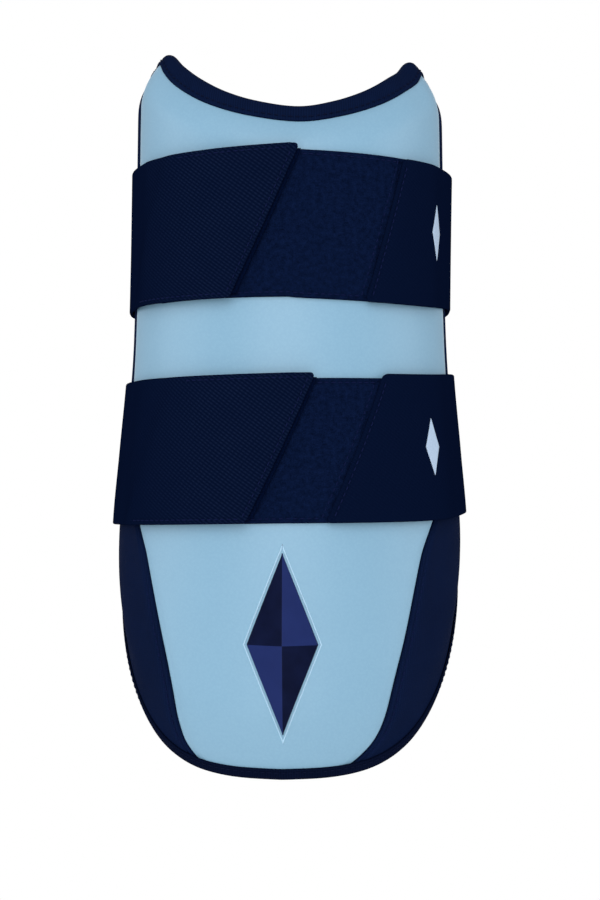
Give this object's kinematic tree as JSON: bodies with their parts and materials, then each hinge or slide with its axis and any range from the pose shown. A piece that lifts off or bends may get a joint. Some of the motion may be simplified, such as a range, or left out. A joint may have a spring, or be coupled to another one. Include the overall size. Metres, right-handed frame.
{
  "type": "elbow guard",
  "caption": "Padded batting elbow guard: a curved half sleeve with a moulded light blue front panel, navy sides and bound edges, closed round the arm by wide elastic straps.",
  "frame": {"origin": "on the axis of the arm, level with the middle of the lower strap", "axes": "+Z along the arm to the scooped upper rim, -Y out of the front panel, +X to the right of someone facing the front panel"},
  "size_m": [0.1286, 0.1045, 0.2564],
  "materials": {
    "foam_lining": "brushed knit lining on closed-cell foam",
    "front_cover": "satin synthetic leather",
    "side_cover": "matt warp-knitted polyester",
    "binding_tape": "woven binding tape, stitched",
    "badge": "moulded, semi-gloss",
    "loop_pile": "brushed loop pile",
    "elastic": "twill-woven elastic, stitched hems"
  },
  "bodies": {
    "root": {"padded_body": "foam_lining", "front_panel": "front_cover", "side_panel_left": "side_cover", "side_panel_right": "side_cover", "neck_binding": "binding_tape", "edge_binding": "binding_tape", "front_badge": "badge", "upper_loop_pad": "loop_pile", "lower_loop_pad": "loop_pile", "upper_strap": "elastic", "lower_strap": "elastic"}
  },
  "joints": []
}
